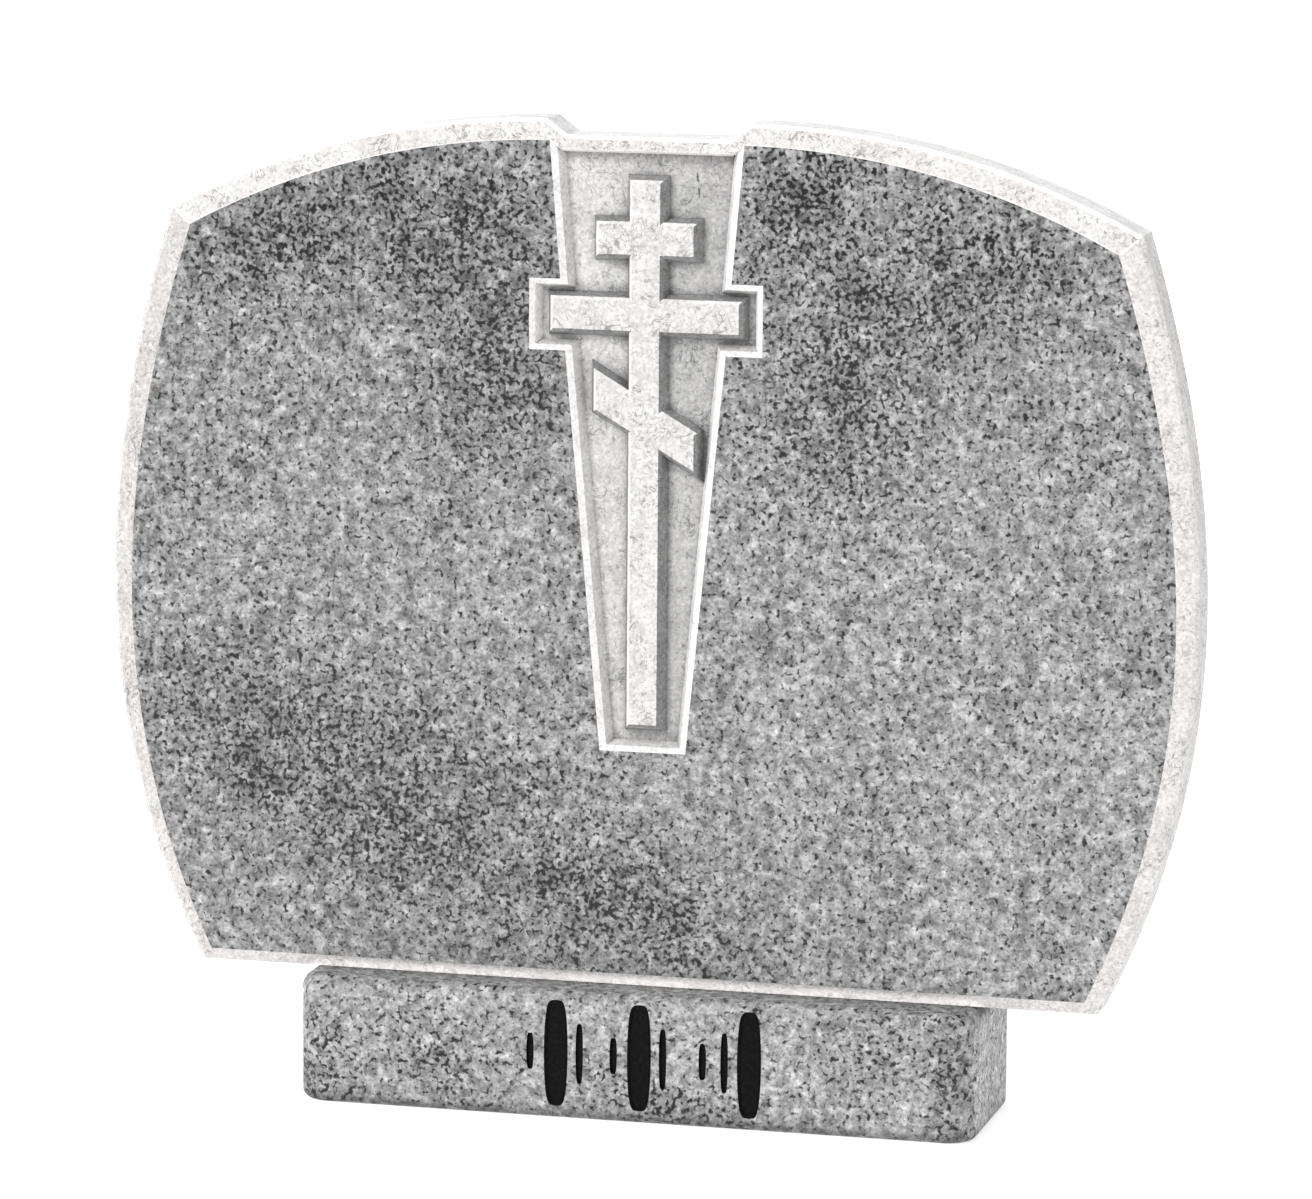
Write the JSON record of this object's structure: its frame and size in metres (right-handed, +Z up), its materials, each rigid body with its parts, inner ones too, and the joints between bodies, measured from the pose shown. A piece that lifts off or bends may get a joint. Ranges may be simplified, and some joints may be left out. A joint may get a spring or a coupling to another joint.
{
  "type": "grave marker",
  "caption": "Carved grey granite grave marker: bowed, bevelled tablet with a crown notch and a sunk panel holding a raised three-armed cross, standing on a rounded granite plinth.",
  "frame": {"origin": "the middle of the plinth's underside", "axes": "+Z up, the polished face looks along -Y, +X to the right of a viewer who faces the marker"},
  "size_m": [1.015, 0.182, 0.9112],
  "materials": {
    "tablet_granite": null,
    "plinth_granite": null
  },
  "bodies": {
    "root": {"tablet": "tablet_granite", "plinth": "plinth_granite"}
  },
  "joints": []
}
